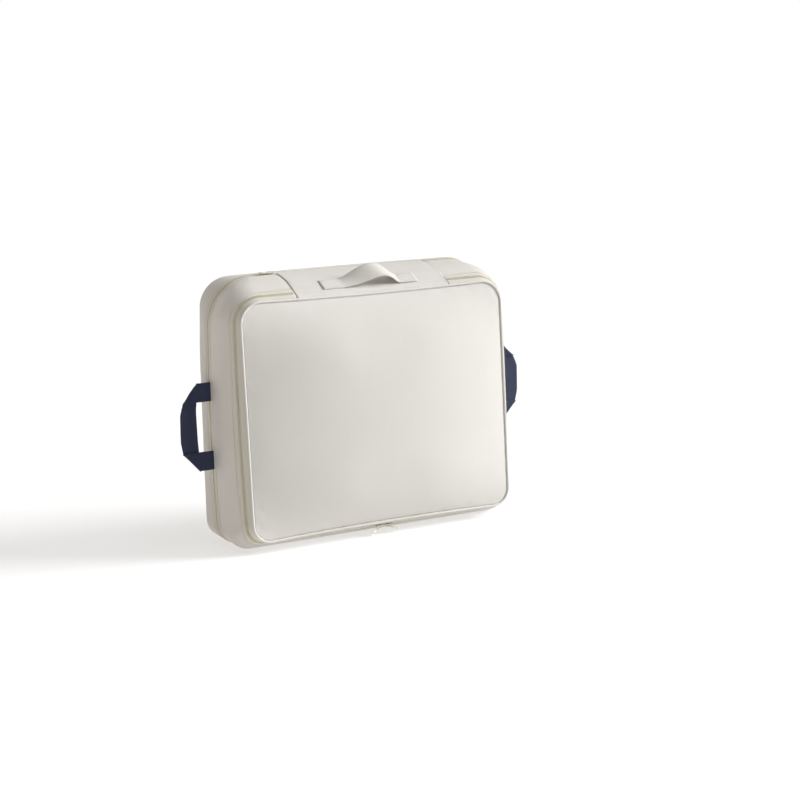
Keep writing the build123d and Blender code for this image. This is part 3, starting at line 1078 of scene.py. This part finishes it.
def strap_half(side, name):
    """One half of the strap with its stitching, from its sewn end to its middle."""
    x = np.linspace(0, side * STRAP_HALF, 56)
    profile = flat_profile(STRAP_WIDTH - 1.2, STRAP_THICK, 0.15, 9)
    sides = len(profile)
    grid = strap_point(x[:, None], profile[None, :, 0], profile[None, :, 1] + STRAP_THICK / 2)
    grid[-1] = strap_point(np.full(sides, x[-1] + side * 0.4), profile[:, 0] * 0.98,
                           profile[:, 1] * 0.5 + STRAP_THICK / 2)
    faces = grid_faces(len(x), sides, True)
    faces.append(tuple((len(x) - 1) * sides + k for k in range(sides)))
    if side > 0:
        faces = flipped(faces)
    place = np.column_stack((np.repeat(np.abs(x), sides), np.tile(profile[:, 0], len(x))))
    band = new_mesh(f"top_strap_{name}", grid, faces, place)
    band.data.materials.append(SHELL)
    half = join(f"top_strap_{name}", [band] + strap_stitches(side))
    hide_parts("top_handle_ends", "top_handle_grip")
    start, end = (strap_point(side * along, 0.0, 0.0) * MM for along in (STRAP_SEWN, 26.0))
    end[1:] = start[1:]
    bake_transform(half)


# ---- side handles
def handle_grid(steps=27):
    """Webbing loop as one folded strip: along it, across it, and its place on the flat strip.

    Columns give (outward, rearward, up) from the middle of its seam.
    """
    arm, fold, grip = 16, 7, 44
    bend = 0.95  # radius of a fold, so that the layers lie on each other
    rows, flat = [], []
    w = np.linspace(0, WEB_WIDTH, steps)
    turn_x, turn_z = HANDLE_REACH - WEB_WIDTH + w, HANDLE_HALF - w

    def row(x, y, z, s):
        rows.append(np.column_stack((x, 0 * w + y, z)))
        flat.append(np.column_stack((s, w)))

    def folded(first, last, way, s):
        for a in np.radians(np.linspace(first, last, fold)):
            reach = 0.45 * bend * sin(a)
            row(turn_x + reach, bend * (1 - cos(a)), way * (turn_z + reach), s)

    for t in np.linspace(0, 1, arm)[:-1]:
        row(turn_x * t, 0, turn_z, turn_x * t)
    folded(0, 180, 1, turn_x)
    for t in np.linspace(0, 1, grip)[1:-1]:
        row(turn_x, 2 * bend, turn_z * (1 - 2 * t), turn_x + 2 * turn_z * t)
    folded(180, 0, -1, turn_x + 2 * turn_z)
    for t in np.linspace(1, 0, arm)[1:]:
        row(turn_x * t, 0, -turn_z, 2 * turn_x + 2 * turn_z - turn_x * t)
    return np.array(rows), np.array(flat)


def shaped_handle(points, twist, round_off):
    """Soft set of a webbing loop: the grip twists, the corners round and the arms sag."""
    x, y, z = (points[..., k] for k in range(3))
    outer = np.clip(x / HANDLE_REACH, 0, 1)
    up = z / HANDLE_HALF
    corner = np.clip(np.abs(up) - 0.30, 0, 1) ** 1.2 * outer ** 2
    x = x * 0.95 - round_off * corner * (1 + 0.5 * up)  # the upper corner draws in more
    x = x + outer ** 2 * np.cos(up * pi / 2)  # the grip bows out
    free = np.clip((x - 8) / 20, 0, 1)  # 0 at the seam, 1 where the arm can twist
    turn = twist * (0.5 + 0.5 * up) * free
    middle = HANDLE_REACH - WEB_WIDTH / 2
    y = y - (x - middle) * np.sin(turn) * free
    x = middle + (x - middle) * np.where(x > middle - 14, np.cos(turn), 1.0)
    z = z - 1.2 * outer * np.clip(up, 0, 1)  # the upper arm sags
    return np.stack((x, y, z), axis=-1)


def handle_stitches(place):
    """Stitches that hold both folded corners of a handle; place sets points on the handle."""
    rows = []
    for way in (1, -1):
        for x0, z0, x1, z1 in ((18, 36, 18, 55), (21, 36, 40, 36), (18, 55, 20.5, 55),
                               (21, 55, 40, 37)):
            t = np.linspace(0, 1, 30)
            line = np.column_stack((x0 + (x1 - x0) * t, np.full(30, -WEB_THICK / 2 - 0.22),
                                    way * (z0 + (z1 - z0) * t)))
            row = stitch_row("stitch", place(line), np.tile((0.0, -1.0, 0.0), (30, 1)), 2.2, 0.7,
                             radius=0.2)
            row.data.materials.append(NAVY_THREAD)
            rows.append(row)
    return rows


def build_handle(side, name, twist, round_off):
    """Navy webbing side handle, sewn into the seam at the rear of the middle gusset."""
    seat = np.array(joint(f"side_handle_{name}_swing")["pos_m"]) / MM

    def placed(points):
        return points * (side, 1, 1) + seat

    points, flat = handle_grid()
    points = shaped_handle(points, twist, round_off)
    normal = unit(np.cross(slope(points, 1, False), slope(points, 0, False)))
    ribs = 0.10 * np.cos(flat[..., 1] * 2 * pi / WEB_RIB)
    grid = placed(points + normal * ribs[..., None])
    faces = grid_faces(*grid.shape[:2], False)
    if side > 0:
        faces = flipped(faces)
    piece = new_mesh(f"side_handle_{name}_webbing", grid, faces, flat)
    thicken(piece, WEB_THICK, 0.0)
    piece.data.materials.append(WEBBING)
    rows = handle_stitches(lambda line: placed(shaped_handle(line, twist, round_off)))
    handle = join(f"side_handle_{name}_webbing", [piece] + rows)
    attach(handle, f"side_handle_{name}")
    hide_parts(f"side_handle_{name}")


# ---- camera, light and floor
def towards(azimuth, elevation):
    """Unit vector from the case to a viewer or lamp; azimuth 0 is straight in front."""
    a, e = radians(azimuth), radians(elevation)
    return Vector((sin(a) * cos(e), -cos(a) * cos(e), sin(e)))


def turned_to_case(away):
    """Rotation of a lamp or camera that stands in a direction and looks back."""
    return (-away).to_track_quat("-Z", "Y")


def add_floor():
    """Pale floor that is bright enough to vanish into the background."""
    bpy.ops.mesh.primitive_plane_add(size=80, location=(0, 0, 0))
    floor = bpy.context.object
    floor.name = "floor"
    nodes = Nodes("floor_paint")
    nodes.set(Base_Color=(0.5, 0.5, 0.5), Roughness=0.9,
              Emission_Color=(1.0, 0.99, 0.975), Emission_Strength=0.52)
    floor.data.materials.append(nodes.material)


def add_suns():
    """Soft key light from the right, and weaker ones from above, the left and behind."""
    for name, azimuth, elevation, softness, strength, colour in (
            ("key", 67, 25, 26, 4.1, (0.975, 0.985, 1.0)),
            ("top", 30, 75, 50, 1.0, (0.985, 0.99, 1.0)),
            ("left_fill", -105, 15, 60, 0.5, (1.0, 0.84, 0.66)),
            ("rear_fill", 180, 25, 60, 0.7, (1.0, 0.97, 0.93))):
        light = bpy.data.lights.new(name, "SUN")
        light.angle, light.energy, light.color = radians(softness), strength, colour
        away = towards(azimuth, elevation)
        add_object(name, light).rotation_euler = turned_to_case(away).to_euler()


def add_world():
    """Dim warm surroundings that the camera sees as plain white."""
    world = bpy.data.worlds.new("studio")
    world.use_nodes = True
    tree = world.node_tree
    dim, white = tree.nodes["Background"], tree.nodes.new("ShaderNodeBackground")
    dim.inputs["Color"].default_value = (1.0, 0.96, 0.90, 1.0)
    dim.inputs["Strength"].default_value = 0.05
    white.inputs["Color"].default_value = (1.0, 1.0, 1.0, 1.0)
    path = tree.nodes.new("ShaderNodeLightPath")
    mix = tree.nodes.new("ShaderNodeMixShader")
    for socket, source in zip(mix.inputs, (path.outputs["Is Camera Ray"], dim.outputs[0],
                                           white.outputs[0])):
        tree.links.new(source, socket)
    tree.links.new(mix.outputs[0], tree.nodes["World Output"].inputs[0])
    bpy.context.scene.world = world
    bpy.context.scene.view_settings.view_transform = "Standard"


def add_camera():
    """Long lens at the front left, a little above the case and slightly rolled."""
    camera = bpy.data.cameras.new("camera")
    camera.sensor_width = 36.0
    camera.lens = 76.5
    camera.shift_x = 0.046
    camera.clip_end = 60.0
    view = add_object("camera", camera)
    away = towards(-27.0, 10.3)
    view.location = Vector((0, 0, 0.175)) + away * 2.291
    roll = Euler((0, 0, radians(-1.95))).to_quaternion()
    view.rotation_euler = (turned_to_case(away) @ roll).to_euler()
    bpy.context.scene.camera = view


build_walls()
build_top_panel()
build_hinges()
build_piping()
build_divider()
build_zips()
build_sliders()
strap_half(-1, "left")
strap_half(1, "right")
build_handle(-1, "left", radians(28), 18.0)
build_handle(1, "right", radians(6), 22.0)
add_floor()
add_suns()
add_world()
add_camera()
